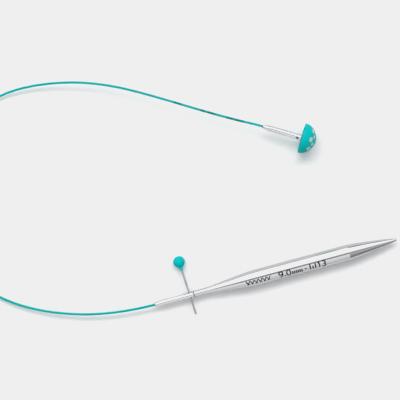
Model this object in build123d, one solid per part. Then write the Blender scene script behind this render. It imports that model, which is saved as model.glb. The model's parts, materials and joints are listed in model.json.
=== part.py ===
"""Circular knitting needle of the interchangeable kind, in millimetres, lying on a table at z = 0.

One steel needle tip is screwed to a connector on a coated steel cord. A ball-headed key stands in
that connector's cross hole, and a domed cap is screwed to the connector at the cord's other end.
+X runs along the needle towards its point, and the origin is on the table, under the middle of the
needle, key, connectors and cap.
"""

from build123d import *
import math
import os

# Needle tip: a swaged steel tube
NEEDLE_DIAMETER = 9.0
TIP_LENGTH = 116.7
NECK_DIAMETER = 3.6
NECK_LENGTH = 7.8
REAR_CONE_END = 33.2
REAR_CONE_BLEND = 40.0
FRONT_CONE_START = 87.7
FRONT_CONE_BULGE = 0.43
NOSE_RADIUS = 0.92
NOSE_SLOPE = 11.0
TUBE_WALL = 0.7

# Connector: sleeve, screw and the stop on the cord's end, each measured from the sleeve's rear
SLEEVE_LENGTH = 22.4
SLEEVE_DIAMETER = 3.3
SLEEVE_NOSE_LENGTH = 4.4
SLEEVE_NOSE_DIAMETER = 1.8
SLEEVE_NOSE_BULGE = 0.16
SLEEVE_BACK_WALL = 3.0
CHAMBER_DIAMETER = 2.4
STOP_DIAMETER = 2.2
STOP_LENGTH = 4.0
SCREW_SHANK_START = 7.3
EDGE_BREAK = 0.12

# M2 x 0.4 thread that carries the tip and the cap
THREAD_MAJOR = 2.0
THREAD_MINOR = 1.52
THREAD_PITCH = 0.4
THREAD_TURNS = 12
THREAD_RELIEF = 0.4

# Threaded bushes in the tip and in the cap
BUSH_BORE = THREAD_MAJOR + 0.1
BUSH_RECESS = 0.2
TIP_BUSH_DIAMETER = 2.66
TIP_BUSH_LENGTH = 8.0
CAP_BUSH_DIAMETER = 3.4
CAP_BUSH_LENGTH = 6.0
BUSH_CLEARANCE = 0.02

# End cap
CAP_DIAMETER = 17.0
CAP_HEIGHT = 8.2
CAP_RIM_ROUNDING = 0.5
CAP_DOME_POWER = 1.82

# Tightening key
KEY_WIRE_DIAMETER = 1.0
KEY_HOLE_DIAMETER = 1.28
KEY_HOLE_FROM_REAR = 20.1
KEY_BALL_DIAMETER = 6.5
KEY_BALL_REACH = 19.5
KEY_TAIL = 11.1
KEY_COLLAR_DIAMETER = 1.9
KEY_COLLAR_LENGTH = 1.6
KEY_WIRE_IN_BALL = 2.0
KEY_LEAN = 3.0

# Coated cord
CORD_DIAMETER = 1.2
CORE_DIAMETER = 0.8
CORD_TO_STOP = SLEEVE_BACK_WALL + 0.1

# Where the two connectors lie: the rear of each sleeve, on its axis
NEEDLE_SIDE = Vector(-69.55, -34.86, NEEDLE_DIAMETER / 2)
CAP_SIDE = Vector(13.95, 45.19, CAP_DIAMETER / 2)
CAP_SIDE_TURN = -31.5
CAP_SIDE_HOLE_ROLL = 120.0

# The key's ball rests on the table, so the key dips a little towards it
KEY_DIP = math.degrees(math.asin((NEEDLE_DIAMETER - KEY_BALL_DIAMETER) / 2 / KEY_BALL_REACH))

NEEDLE_CONNECTOR = Location(NEEDLE_SIDE)
CAP_CONNECTOR = Location(CAP_SIDE, (0, 0, CAP_SIDE_TURN))
NEEDLE_JOINT = NEEDLE_CONNECTOR * Location((SLEEVE_LENGTH, 0, 0))
CAP_JOINT = CAP_CONNECTOR * Location((SLEEVE_LENGTH, 0, 0))
TO_CAP = Vector(1, 0, 0).rotate(Axis.Z, CAP_SIDE_TURN)

# The cord's route from the needle's stop to the cap's stop, chosen by hand. It leaves both sleeves
# straight, comes down to the table on the far left and lies on it round the loop.
CORD_ROUTE = [
    NEEDLE_SIDE + (CORD_TO_STOP, 0, 0),
    NEEDLE_SIDE - (9, 0, 0),
    (-99.5, -32.0, 4.2),
    (-116.5, -27.4, 3.7),
    (-132.5, -20.7, 3.0),
    (-147.0, -11.7, 2.2),
    (-159.5, 0.1, 1.4),
    (-169.5, 16.3, 0.8),
    (-174.4, 35.6, 0.6),
    (-172.6, 56.5, 0.6),
    (-164.1, 74.6, 0.8),
    (-151.0, 88.2, 1.4),
    (-135.2, 97.2, 2.2),
    (-118.5, 101.3, 3.2),
    (-101.0, 100.8, 4.3),
    (-81.0, 96.6, 5.5),
    (-61.0, 89.1, 6.6),
    (-41.7, 78.4, 7.5),
    (-15.0, 62.7, 8.2),
    CAP_SIDE - TO_CAP * 12.9,
    CAP_SIDE + TO_CAP * CORD_TO_STOP,
]
ARC_SHARE = 0.45


def turned(outline):
    """A solid turned about the X axis from a closed outline in the XY plane."""
    return revolve(make_face(outline), axis=Axis.X)


def rod(start, end, diameter):
    """A round bar on the X axis."""
    bar = Cylinder(diameter / 2, end - start, rotation=(0, 90, 0))
    return Pos((start + end) / 2, 0, 0) * bar


def tip_outside():
    """The needle tip's outline: neck, blended cone, straight shaft, long front cone and round point."""
    radius = NEEDLE_DIAMETER / 2
    neck = NECK_DIAMETER / 2
    nose_join = TIP_LENGTH - NOSE_RADIUS * (1 - math.sin(math.radians(NOSE_SLOPE)))
    nose_height = NOSE_RADIUS * math.cos(math.radians(NOSE_SLOPE))
    nose_middle = math.radians(45)
    shoulders = FilletPolyline(
        (EDGE_BREAK, neck),
        (NECK_LENGTH, neck),
        (REAR_CONE_END, radius),
        (FRONT_CONE_START, radius),
        radius=[REAR_CONE_BLEND, REAR_CONE_BLEND],
    )
    cone = ThreePointArc(
        (FRONT_CONE_START, radius),
        ((FRONT_CONE_START + nose_join) / 2, (radius + nose_height) / 2 + FRONT_CONE_BULGE),
        (nose_join, nose_height),
    )
    nose = ThreePointArc(
        (nose_join, nose_height),
        (
            TIP_LENGTH - NOSE_RADIUS * (1 - math.cos(nose_middle)),
            NOSE_RADIUS * math.sin(nose_middle),
        ),
        (TIP_LENGTH, 0),
    )
    back = Polyline((TIP_LENGTH, 0), (0, 0), (0, neck - EDGE_BREAK), (EDGE_BREAK, neck))
    return turned(shoulders + cone + nose + back)


def tip_hollow():
    """The room inside the tube, from the bush's seat in the neck to a closed point."""
    seat = TIP_BUSH_DIAMETER / 2 + BUSH_CLEARANCE
    seat_end = BUSH_RECESS + TIP_BUSH_LENGTH
    bore = NEEDLE_DIAMETER / 2 - TUBE_WALL
    outline = Polyline(
        (0, 0),
        (0, seat),
        (seat_end + 1, seat),
        (REAR_CONE_END + 1, bore),
        (FRONT_CONE_START - 2, bore),
        (TIP_LENGTH - 14, 1.2),
        (TIP_LENGTH - 12, 0),
        close=True,
    )
    return turned(outline)


def needle_tip():
    return NEEDLE_JOINT * (tip_outside() - tip_hollow())


def bush(diameter, length):
    """A threaded bush, bored at the thread's full diameter."""
    start = BUSH_RECESS
    end = start + length
    return rod(start, end, diameter) - rod(start - 1, end + 1, BUSH_BORE)


def key_hole(roll):
    """The cross hole for the key, rolled about the sleeve's axis from +Y."""
    drill = Cylinder(KEY_HOLE_DIAMETER / 2, 3 * SLEEVE_DIAMETER, rotation=(roll - 90, 0, 0))
    return Pos(KEY_HOLE_FROM_REAR, 0, 0) * drill


def connector_sleeve(roll):
    """A steel sleeve with a bullet-shaped rear, bored for the cord, its stop and the screw."""
    radius = SLEEVE_DIAMETER / 2
    rear = SLEEVE_NOSE_DIAMETER / 2
    nose = ThreePointArc(
        (0, rear),
        (SLEEVE_NOSE_LENGTH / 2, (rear + radius) / 2 + SLEEVE_NOSE_BULGE),
        (SLEEVE_NOSE_LENGTH, radius),
    )
    rest = Polyline(
        (SLEEVE_NOSE_LENGTH, radius),
        (SLEEVE_LENGTH - EDGE_BREAK, radius),
        (SLEEVE_LENGTH, radius - EDGE_BREAK),
        (SLEEVE_LENGTH, 0),
        (0, 0),
        (0, rear),
    )
    cord_way = rod(-1, SLEEVE_BACK_WALL + 1, CORD_DIAMETER + 0.2)
    chamber = rod(SLEEVE_BACK_WALL, SLEEVE_LENGTH + 1, CHAMBER_DIAMETER)
    return turned(nose + rest) - cord_way - chamber - key_hole(roll)


def thread_outline():
    """The stud's outline: a relief, then one ridge per turn, then a chamfered end."""
    crest = THREAD_MAJOR / 2
    root = THREAD_MINOR / 2
    start = SLEEVE_LENGTH + THREAD_RELIEF
    points = [(SLEEVE_LENGTH, 0), (SLEEVE_LENGTH, root), (start, root)]
    for turn in range(THREAD_TURNS):
        points.append((start + (turn + 0.45) * THREAD_PITCH, crest))
        points.append((start + (turn + 0.55) * THREAD_PITCH, crest))
        points.append((start + (turn + 1) * THREAD_PITCH, root))
    end = start + THREAD_TURNS * THREAD_PITCH
    points.append((end + THREAD_PITCH / 2, root - THREAD_PITCH / 2))
    points.append((end + THREAD_PITCH / 2, 0))
    return Polyline(points, close=True)


def connector_screw(roll):
    """The screw fixed in a sleeve's front: a plain shank with the cross hole, then the stud."""
    shank = rod(SCREW_SHANK_START, SLEEVE_LENGTH, CHAMBER_DIAMETER) - key_hole(roll)
    return shank + turned(thread_outline())


def cord_stop():
    """The stop crimped on the cord's steel core, captive inside the sleeve."""
    end = CORD_TO_STOP + STOP_LENGTH
    bead = chamfer(rod(CORD_TO_STOP, end, STOP_DIAMETER).edges(), 0.2)
    return bead - rod(CORD_TO_STOP - 1, end + 1, CORE_DIAMETER)


def arc_radii(route):
    """The radius at each bend: as large as its two runs allow."""
    radii = []
    for before, here, after in zip(route, route[1:], route[2:]):
        half_turn = math.radians((here - before).get_angle(after - here) / 2)
        shorter = min((here - before).length, (after - here).length)
        radii.append(ARC_SHARE * shorter / math.tan(half_turn))
    return radii


def swept(route, radii, diameter):
    """A round bar along straight runs joined by tangent arcs, with its length."""
    path = FilletPolyline(route, radius=radii)
    section = Plane(origin=path @ 0, z_dir=path % 0) * Circle(diameter / 2)
    return sweep(section, path=path), path.length


def cord():
    """The jacket and the core. The core goes on through both stops."""
    route = [Vector(point) for point in CORD_ROUTE]
    radii = arc_radii(route)
    print("cord radii:", ", ".join(f"{radius:.0f}" for radius in radii))
    outside, length = swept(route, radii, CORD_DIAMETER)
    into_needle_stop = route[0] + Vector(STOP_LENGTH, 0, 0)
    into_cap_stop = route[-1] + TO_CAP * STOP_LENGTH
    core_route = [into_needle_stop, *route[1:-1], into_cap_stop]
    core, core_length = swept(core_route, radii, CORE_DIAMETER)
    for name, solid, diameter, run in (
        ("jacket, filled", outside, CORD_DIAMETER, length),
        ("core", core, CORE_DIAMETER, core_length),
    ):
        ideal = math.pi * diameter**2 / 4 * run
        print(f"cord {name}: length {run:.1f} mm, volume {solid.volume:.2f}, ideal {ideal:.2f}")
    return outside - core, core


def dome_outline(start, height, radius):
    """From the rim to the crown: (x / height)^p + (y / radius)^p = 1, a little slimmer than an ellipse."""
    points = []
    for degrees in range(0, 91, 10):
        angle = math.radians(degrees)
        across = max(math.cos(angle), 0) ** (2 / CAP_DOME_POWER)
        along = math.sin(angle) ** (2 / CAP_DOME_POWER)
        points.append((start + height * along, radius * across))
    points[-1] = (start + height, 0)
    return Spline(points, tangents=[(1, 0), (0, -1)])


def end_cap():
    """A dome with a flat back and a rounded rim, and the seat for its bush."""
    radius = CAP_DIAMETER / 2
    dome_start = CAP_RIM_ROUNDING
    diagonal = math.sqrt(0.5)
    rim = ThreePointArc(
        (0, radius - CAP_RIM_ROUNDING),
        (CAP_RIM_ROUNDING * (1 - diagonal), radius - CAP_RIM_ROUNDING * (1 - diagonal)),
        (dome_start, radius),
    )
    dome = dome_outline(dome_start, CAP_HEIGHT - dome_start, radius)
    back = Polyline((CAP_HEIGHT, 0), (0, 0), (0, radius - CAP_RIM_ROUNDING))
    seat_depth = BUSH_RECESS + CAP_BUSH_LENGTH
    seat = rod(-1, seat_depth, CAP_BUSH_DIAMETER + 2 * BUSH_CLEARANCE)
    return CAP_JOINT * (turned(rim + dome + back) - seat)


def key_place():
    """Where the key lies: at the cross hole's middle, +Y towards the ball, leaning and dipping."""
    crossing = NEEDLE_SIDE + (KEY_HOLE_FROM_REAR, 0, 0)
    return Location(crossing) * Rotation(-KEY_DIP, 0, 0) * Rotation(0, 0, KEY_LEAN)


def key_pin():
    """The key's steel wire, with a broken edge at its tail."""
    head_end = KEY_BALL_REACH - KEY_WIRE_IN_BALL
    wire = Cylinder(KEY_WIRE_DIAMETER / 2, head_end + KEY_TAIL, rotation=(-90, 0, 0))
    wire = Pos(0, (head_end - KEY_TAIL) / 2, 0) * wire
    tail = wire.edges().sort_by(Axis.Y)[0]
    return key_place() * chamfer(tail, EDGE_BREAK)


def key_ball():
    """The key's moulded ball with its short collar."""
    radius = KEY_BALL_DIAMETER / 2
    collar_end = KEY_BALL_REACH - radius - KEY_COLLAR_LENGTH
    collar_length = KEY_BALL_REACH - collar_end
    collar = Cylinder(KEY_COLLAR_DIAMETER / 2, collar_length, rotation=(-90, 0, 0))
    collar = Pos(0, collar_end + collar_length / 2, 0) * collar
    socket_end = KEY_BALL_REACH - KEY_WIRE_IN_BALL
    socket = Cylinder(KEY_WIRE_DIAMETER / 2, socket_end, rotation=(-90, 0, 0))
    socket = Pos(0, socket_end / 2, 0) * socket
    ball = Pos(0, KEY_BALL_REACH, 0) * Sphere(radius)
    return key_place() * (ball + collar - socket)


def nodes():
    """Every piece in its place, by name."""
    jacket, core = cord()
    return {
        "needle_tip": needle_tip(),
        "tip_thread_bush": NEEDLE_JOINT * bush(TIP_BUSH_DIAMETER, TIP_BUSH_LENGTH),
        "needle_connector_sleeve": NEEDLE_CONNECTOR * connector_sleeve(-KEY_DIP),
        "needle_connector_screw": NEEDLE_CONNECTOR * connector_screw(-KEY_DIP),
        "needle_cord_stop": NEEDLE_CONNECTOR * cord_stop(),
        "cord_jacket": jacket,
        "cord_core": core,
        "cap_cord_stop": CAP_CONNECTOR * cord_stop(),
        "cap_connector_sleeve": CAP_CONNECTOR * connector_sleeve(CAP_SIDE_HOLE_ROLL),
        "cap_connector_screw": CAP_CONNECTOR * connector_screw(CAP_SIDE_HOLE_ROLL),
        "cap_thread_bush": CAP_JOINT * bush(CAP_BUSH_DIAMETER, CAP_BUSH_LENGTH),
        "end_cap": end_cap(),
        "key_pin": key_pin(),
        "key_ball": key_ball(),
    }


os.makedirs("parts", exist_ok=True)
for node, piece in nodes().items():
    export_step(piece, f"parts/{node}.step")
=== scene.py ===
"""The looks of an interchangeable circular knitting needle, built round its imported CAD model.

Lengths are in metres. Every turned piece is worked out on its own axis first: x runs along the piece,
y and z across it. It is then placed in the shared frame by its seat. The same piece-side coordinates
stay on each mesh as the attribute "place", which the materials read.
"""

import json
import math

import bmesh
import bpy
import numpy as np
from mathutils import Matrix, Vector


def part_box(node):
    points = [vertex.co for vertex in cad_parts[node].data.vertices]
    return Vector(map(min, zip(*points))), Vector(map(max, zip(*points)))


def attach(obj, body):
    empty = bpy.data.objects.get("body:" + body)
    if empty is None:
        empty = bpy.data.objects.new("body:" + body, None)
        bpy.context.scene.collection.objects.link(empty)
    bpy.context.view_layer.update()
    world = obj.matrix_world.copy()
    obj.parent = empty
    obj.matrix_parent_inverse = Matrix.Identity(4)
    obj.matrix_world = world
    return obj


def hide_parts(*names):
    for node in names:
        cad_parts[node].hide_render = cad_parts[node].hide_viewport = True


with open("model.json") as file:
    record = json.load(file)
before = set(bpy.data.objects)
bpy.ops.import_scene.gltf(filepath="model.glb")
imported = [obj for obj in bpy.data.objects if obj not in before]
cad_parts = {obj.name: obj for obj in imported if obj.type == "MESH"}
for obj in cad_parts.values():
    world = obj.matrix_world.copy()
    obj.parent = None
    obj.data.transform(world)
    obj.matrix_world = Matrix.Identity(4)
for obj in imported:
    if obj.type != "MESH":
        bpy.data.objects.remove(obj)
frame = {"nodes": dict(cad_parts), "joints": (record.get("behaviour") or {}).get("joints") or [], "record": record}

bl_info = {
    "name": "Circular knitting needle",
    "version": (1, 0, 0),
    "blender": (4, 5, 0),
    "location": "3D View > Sidebar > Needle",
    "description": "Builds the needle tip, cord, connectors, key and end cap round their CAD frame",
    "category": "Object",
}

MM = 0.001
FULL_TURN = 2 * math.pi
MERGE_DISTANCE = 2e-7
SHARP_ANGLE = math.radians(32)

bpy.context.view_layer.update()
JOINTS = {joint["name"]: joint for joint in frame["joints"]}
MOUNTS = {mount["name"]: mount for mount in frame["record"]["mounts"]}

TIP_LOW, TIP_HIGH = (np.array(corner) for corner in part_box("needle_tip"))
TIP_LENGTH = float(TIP_HIGH[0] - TIP_LOW[0])
TIP_RADIUS = float(TIP_HIGH[2] - TIP_LOW[2]) / 2
SLEEVE_LOW, SLEEVE_HIGH = (np.array(corner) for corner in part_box("needle_connector_sleeve"))
SLEEVE_LENGTH = float(SLEEVE_HIGH[0] - SLEEVE_LOW[0])
SLEEVE_RADIUS = float(SLEEVE_HIGH[2] - SLEEVE_LOW[2]) / 2
CAP_LOW, CAP_HIGH = (np.array(corner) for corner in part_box("end_cap"))
CAP_RADIUS = float(CAP_HIGH[2] - CAP_LOW[2]) / 2

# The cord's route from the stop in the needle's sleeve to the stop in the cap's sleeve
CORD_ROUTE = [
    (-0.06645, -0.03486, 0.0045),
    (-0.07855, -0.03486, 0.0045),
    (-0.0996, -0.0323, 0.0042),
    (-0.1166, -0.0278, 0.0037),
    (-0.1327, -0.0213, 0.0030),
    (-0.1473, -0.0127, 0.0022),
    (-0.1599, -0.0012, 0.0014),
    (-0.1699, 0.0152, 0.0009),
    (-0.1744, 0.0356, 0.0007),
    (-0.1726, 0.0565, 0.0007),
    (-0.1641, 0.0746, 0.0009),
    (-0.1511, 0.0880, 0.0014),
    (-0.1353, 0.0967, 0.0022),
    (-0.1186, 0.1008, 0.0032),
    (-0.1011, 0.1004, 0.0043),
    (-0.0810, 0.0966, 0.0055),
    (-0.0610, 0.0890, 0.0066),
    (-0.0418, 0.0782, 0.0075),
    (-0.01525, 0.06175, 0.0082),
    (0.00235, 0.0515, 0.0085),
    (0.01054, 0.04728, 0.0085),
    (0.016593, 0.04357, 0.0085),
]
CORD_IN_SLEEVE = 3.1 * MM
STOP_LENGTH = 4.0 * MM

# Where the cord's dashes of print start and end, in millimetres back from the cap's sleeve
CORD_PRINT = ((10.9, 16.1), (16.9, 20.7), (27.5, 31.7), (33.0, 35.6), (47.0, 48.5), (49.0, 51.4))

# The marks on the shaft: their angle about it, from +Y by way of up, and where each group starts
MARK_ROLL = math.radians(117)
FIGURES_START = 48.4 * MM
STITCHES_START = 29.6 * MM
STITCH_HEIGHT = 3.0 * MM
STITCH_COUNT = 6

# The unlit room is a little cooler than the panels
ROOM_TINT = (0.97, 1.0, 1.05)

# The studio panels, each with its two long edges, its reach in x and its brightness, then whether it
# lights matt surfaces and whether metal shows it
PANELS = (
    ("bright_panel", (2.5, 1.8), (62, 1.9), (-2.2, 2.2), 1.2, False, True),
    ("side_panel", (62, 1.9), (82, 2.0), (-2.2, 0.3), 1.2, True, True),
    ("rim_panel", (62, 1.9), (69, 1.95), (0.3, 2.2), 1.2, False, True),
    ("low_panel", (-18, 1.8), (-45, 1.9), (-2.2, 0.24), 0.82, False, True),
    ("floor_panel", (-45, 1.9), (-84, 2.0), (-2.2, 0.24), 0.6, False, True),
    ("front_panel", (-9, 1.8), (-44, 1.9), (0.24, 1.4), 0.28, False, True),
    ("key_panel", (23, 1.9), (45, 1.9), (-0.9, 1.4), 4.7, True, False),
    ("top_panel", (-25, 1.8), (22, 1.8), (-1.2, 1.2), 0.86, True, False),
)


# ---------------------------------------------------------------- seats


class Seat:
    """Where a piece's own axes lie in the shared frame: its origin and its x, y and z directions."""

    def __init__(self, origin, along, rough_up=(0, 0, 1)):
        self.origin = np.array(origin, float)
        self.along = unit(np.array(along, float))
        self.side = unit(np.cross(rough_up, self.along))
        self.up = np.cross(self.along, self.side)

    def place(self, points):
        """Piece-side points in the shared frame: the origin plus x, y and z times their directions."""
        return self.origin + points @ np.stack([self.along, self.side, self.up])

    def moved(self, distance):
        """The same seat, further along its own x axis."""
        return Seat(self.origin + distance * self.along, self.along, self.up)

    def roll_of(self, direction):
        """The angle about x, from y towards z, at which a direction points."""
        return math.atan2(float(np.dot(direction, self.up)), float(np.dot(direction, self.side)))


def unit(vector):
    return vector / np.linalg.norm(vector)


NEEDLE_SIDE = Seat(JOINTS["needle_swivel"]["pos_m"], JOINTS["needle_swivel"]["axis"])
CAP_SIDE = Seat(JOINTS["cap_swivel"]["pos_m"], JOINTS["cap_swivel"]["axis"])
TIP_SEAT = NEEDLE_SIDE.moved(SLEEVE_LENGTH)
CAP_SEAT = CAP_SIDE.moved(SLEEVE_LENGTH)
KEY_HOLE = MOUNTS["cap_connector_key_hole"]
KEY_HOLE_RADIUS = KEY_HOLE["dims"]["r_mm"] * MM
KEY_HOLE_AT = float(np.linalg.norm(np.array(KEY_HOLE["pos_m"]) - CAP_SIDE.origin))
KEY_SEAT = Seat(NEEDLE_SIDE.moved(KEY_HOLE_AT).origin, JOINTS["key_slide"]["axis"])


# ---------------------------------------------------------------- outlines


def arc_through(start, middle, end, steps):
    """Points on the circle through three points, evenly by angle, from the first to the last.

    The middle of the circle is where the perpendiculars to the two chords cross.
    """
    a, b, c = (np.array(point, float) for point in (start, middle, end))
    sides = 2 * np.array([b - a, c - b])
    centre = np.linalg.solve(sides, np.array([b @ b - a @ a, c @ c - b @ b]))
    first, half, last = (math.atan2(*(point - centre)[::-1]) for point in (a, b, c))
    span = (last - first) % FULL_TURN
    if (half - first) % FULL_TURN > span:
        span -= FULL_TURN
    angles = first + span * np.linspace(0, 1, steps + 1)
    radius = np.linalg.norm(a - centre)
    return centre + radius * np.stack([np.cos(angles), np.sin(angles)], axis=1)


def rounded(corners, radii, steps=8, margin=0.04 * MM):
    """An outline through corners, each rounded by an arc of its radius that touches both its runs.

    An arc starts radius * tan(half the turn) before its corner. A point a little way along each run
    keeps the shading of the arc off the run.
    """
    corners = np.array(corners, float)
    pieces = [corners[:1]]
    for before, corner, after, radius in zip(corners, corners[1:], corners[2:], radii):
        into, out = unit(corner - before), unit(after - corner)
        half_turn = math.acos(max(-1.0, min(1.0, float(into @ out)))) / 2
        if radius == 0 or half_turn < 1e-6:
            pieces.append(corner[None])
            continue
        reach = radius * math.tan(half_turn)
        start, end = corner - into * reach, corner + out * reach
        middle_way = unit(out - into)
        middle = corner + middle_way * (radius / math.cos(half_turn) - radius)
        pieces.append((start - into * margin)[None])
        pieces.append(arc_through(start, middle, end, steps))
        pieces.append((end + out * margin)[None])
    pieces.append(corners[-1:])
    return np.concatenate(pieces)


# ---------------------------------------------------------------- meshes


class Surface:
    """Points on a piece's own axis, and the four-cornered faces between them."""

    def __init__(self):
        self.points = []
        self.faces = []
        self.count = 0

    def add_grid(self, grid, skip=None, closed=False):
        """Adds a sheet of points, rows by columns, and its faces, less those that skip marks.

        With closed, the last column joins the first.
        """
        rows, columns = grid.shape[:2]
        index = np.arange(rows * columns).reshape(rows, columns) + self.count
        if closed:
            index = np.concatenate([index, index[:, :1]], axis=1)
        quads = np.stack([index[:-1, :-1], index[:-1, 1:], index[1:, 1:], index[1:, :-1]], axis=-1)
        if skip is not None:
            quads = quads[~skip]
        self.points.append(grid.reshape(-1, 3))
        self.faces.append(quads.reshape(-1, 4))
        self.count += rows * columns
        return self

    def add_lathe(self, outline, sides, roll=0.0, skip=None):
        """Adds an outline turned about x: (x, r) becomes (x, r cos a, r sin a) for each angle a."""
        angles = roll + FULL_TURN * np.arange(sides) / sides
        x = np.broadcast_to(outline[:, :1], (len(outline), sides))
        y = outline[:, 1:] * np.cos(angles)
        z = outline[:, 1:] * np.sin(angles)
        return self.add_grid(np.stack([x, y, z], axis=-1), skip, closed=True)

    def piece(self, name, seat=None, line=None):
        """The Blender object: doubles merged, faces outwards, hard edges marked.

        It is placed by its seat, or carried along a line: x is then the distance along the line, and
        y and z lie across it, with z as near to straight up as it can be.
        """
        own = np.concatenate(self.points)
        faces = np.concatenate(self.faces)
        placed = seat.place(own) if line is None else line.carry(own)
        mesh = bpy.data.meshes.new(name)
        mesh.from_pydata(placed, [], faces.tolist())
        place = mesh.attributes.new("place", "FLOAT_VECTOR", "POINT")
        place.data.foreach_set("vector", own.astype(np.float32).ravel())
        form = bmesh.new()
        form.from_mesh(mesh)
        bmesh.ops.remove_doubles(form, verts=form.verts, dist=MERGE_DISTANCE)
        bmesh.ops.recalc_face_normals(form, faces=form.faces)
        form.to_mesh(mesh)
        form.free()
        mesh.shade_smooth()
        mesh.set_sharp_from_angle(angle=SHARP_ANGLE)
        made = bpy.data.objects.new(name, mesh)
        bpy.context.scene.collection.objects.link(made)
        return made


class Line:
    """A smooth line through space, evenly divided."""

    def __init__(self, points, step):
        along = np.concatenate([[0], np.cumsum(np.linalg.norm(np.diff(points, axis=0), axis=1))])
        self.length = float(along[-1])
        self.at = np.linspace(0, self.length, math.ceil(self.length / step) + 1)
        self.points = np.stack([np.interp(self.at, along, points[:, k]) for k in range(3)], axis=1)
        self.ways = np.gradient(self.points, self.at, axis=0)
        self.ways /= np.linalg.norm(self.ways, axis=1, keepdims=True)

    def carry(self, own):
        """Points given as distance along, y and z across, carried to the line.

        Past either end the line runs on straight.
        """
        held = np.clip(own[:, 0], 0, self.length)
        over = (own[:, 0] - held)[:, None]
        way = np.stack([np.interp(held, self.at, self.ways[:, k]) for k in range(3)], axis=1)
        way /= np.linalg.norm(way, axis=1, keepdims=True)
        centre = np.stack([np.interp(held, self.at, self.points[:, k]) for k in range(3)], axis=1)
        side = np.cross((0, 0, 1), way)
        side /= np.linalg.norm(side, axis=1, keepdims=True)
        up = np.cross(way, side)
        return centre + over * way + own[:, 1:2] * side + own[:, 2:] * up


# ---------------------------------------------------------------- shader helpers


class Value:
    """A number in a material that takes part in Python sums. Each operator adds one Math node."""

    def __init__(self, look, socket):
        self.look = look
        self.socket = socket

    def __add__(self, other):
        return self.look.maths("ADD", self, other)

    def __sub__(self, other):
        return self.look.maths("SUBTRACT", self, other)

    def __rsub__(self, other):
        return self.look.maths("SUBTRACT", other, self)

    def __mul__(self, other):
        return self.look.maths("MULTIPLY", self, other)

    def __truediv__(self, other):
        return self.look.maths("DIVIDE", self, other)

    def __pow__(self, other):
        return self.look.maths("POWER", self, other)

    __radd__ = __add__
    __rmul__ = __mul__

    def held(self):
        """The value kept between 0 and 1."""
        return self.look.maths("ADD", self, 0.0, use_clamp=True)

    def root(self):
        return self.look.maths("SQRT", self)

    def size(self):
        return self.look.maths("ABSOLUTE", self)

    def part(self):
        """What is left above the whole number."""
        return self.look.maths("FRACT", self)

    def above(self, edge, blur):
        """1 above an edge and 0 below it, over a blurred width."""
        return ((self - edge) / blur + 0.5).held()


class Look:
    """A material and its node tree."""

    def __init__(self, name):
        self.material = bpy.data.materials.new(name)
        self.material.use_nodes = True
        self.tree = self.material.node_tree
        self.tree.nodes.clear()

    def node(self, kind, settings=None, sockets=None):
        """Any node: its settings first, a ramp's stops among them, then its sockets' values or links."""
        made = self.tree.nodes.new(kind)
        for name, value in (settings or {}).items():
            setattr(made, name, value)
        for name, value in (sockets or {}).items():
            if isinstance(value, Value):
                self.tree.links.new(value.socket, made.inputs[name])
            elif isinstance(value, bpy.types.NodeSocket):
                self.tree.links.new(value, made.inputs[name])
            else:
                made.inputs[name].default_value = value
        return made

    def maths(self, operation, *values, **settings):
        settings["operation"] = operation
        made = self.node("ShaderNodeMath", settings, dict(enumerate(values)))
        return Value(self, made.outputs[0])

    def place(self):
        """The piece-side coordinates, as a vector socket."""
        made = self.node("ShaderNodeAttribute", {"attribute_name": "place"})
        return made.outputs["Vector"]

    def axes(self, vector):
        """The x, y and z of a vector."""
        made = self.node("ShaderNodeSeparateXYZ", sockets={"Vector": vector})
        return [Value(self, socket) for socket in made.outputs]

    def stretched(self, vector, scale):
        """A vector times a scale along each axis."""
        made = self.node("ShaderNodeVectorMath", {"operation": "MULTIPLY"}, {0: vector, 1: scale})
        return made.outputs["Vector"]

    def noise(self, vector, scale, detail=2.0, roughness=0.5):
        """Cloudy noise from 0 to 1, with its own scale along each axis, in cycles a metre."""
        sockets = {"Vector": self.stretched(vector, scale), "Scale": 1.0}
        sockets["Detail"] = detail
        sockets["Roughness"] = roughness
        return Value(self, self.node("ShaderNodeTexNoise", sockets=sockets).outputs[0])

    def mix(self, share, first, second):
        """A colour between two, by a share from 0 to 1."""
        sockets = {0: share, 6: first, 7: second}
        return self.node("ShaderNodeMix", {"data_type": "RGBA"}, sockets).outputs[2]

    def bump(self, height, depth):
        """A normal tilted as if the surface stood up by height times depth, in metres."""
        sockets = {"Height": height, "Distance": depth, "Strength": 1.0}
        return self.node("ShaderNodeBump", sockets=sockets).outputs["Normal"]

    def finish(self, **sockets):
        """Ends the material in one Principled shader."""
        named = {name.replace("_", " "): value for name, value in sockets.items()}
        shader = self.node("ShaderNodeBsdfPrincipled", sockets=named)
        surface = {"Surface": shader.outputs["BSDF"]}
        self.node("ShaderNodeOutputMaterial", sockets=surface)
        return self.material


def shade(colour, share):
    """A colour times a share, as four numbers."""
    return (*(channel * share for channel in colour[:3]), 1.0)


# ---------------------------------------------------------------- materials


def hole_wall_shade(look, place, roll):
    """1 on the cross hole's wall, for painted shade: within the hole's radius of its axis, which lies square to x.

    The distance from that axis has the squares of x past the hole and of -y sin roll + z cos roll.
    """
    x, y, z = look.axes(place)
    aside = z * math.cos(roll) - y * math.sin(roll)
    far = ((x - KEY_HOLE_AT) ** 2 + aside**2).root()
    return 1 - far.above(KEY_HOLE_RADIUS + 0.025 * MM, 0.03 * MM)


def with_painted_shade(look, tone, gloss, colour, shade_amount):
    """A steel's tone and gloss where shade is painted: darker and duller by a share from 0 to 1."""
    return look.mix(0.85 * shade_amount, tone, shade(colour, 0.12)), gloss + 0.3 * shade_amount


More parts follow.
